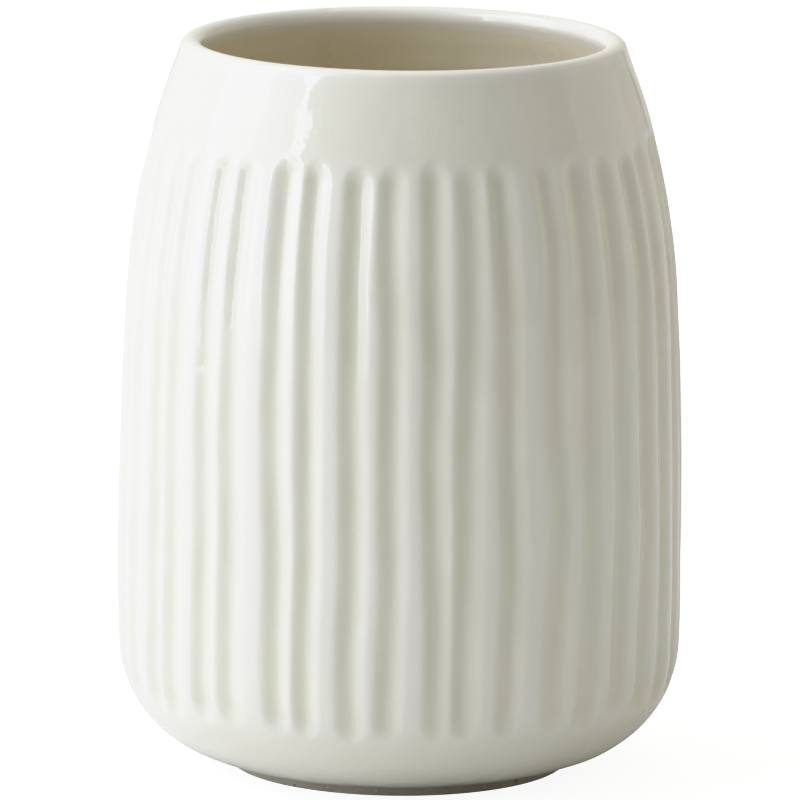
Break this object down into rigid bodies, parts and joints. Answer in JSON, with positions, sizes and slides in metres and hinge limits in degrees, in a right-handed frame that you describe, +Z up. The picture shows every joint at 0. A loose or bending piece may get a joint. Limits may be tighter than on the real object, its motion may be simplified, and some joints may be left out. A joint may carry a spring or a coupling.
{
  "type": "pen holder cup",
  "caption": "Barrel-shaped glazed stoneware cup with hand-carved vertical flutes, a plain collar and a bare foot ring, open at the top to hold pens on a desk.",
  "frame": {"origin": "middle of the foot ring's tread, on the surface that the cup stands on", "axes": "+Z up along the cup's axis, out of its mouth; +X and +Y are level, and the cup has no front"},
  "size_m": [0.085, 0.085, 0.11],
  "materials": {
    "bare_clay": "matte",
    "cream_glaze": "gloss",
    "liner_glaze": "gloss"
  },
  "bodies": {
    "root": {"clay_body": "bare_clay", "outer_glaze": "cream_glaze", "inner_glaze": "liner_glaze"}
  },
  "joints": []
}
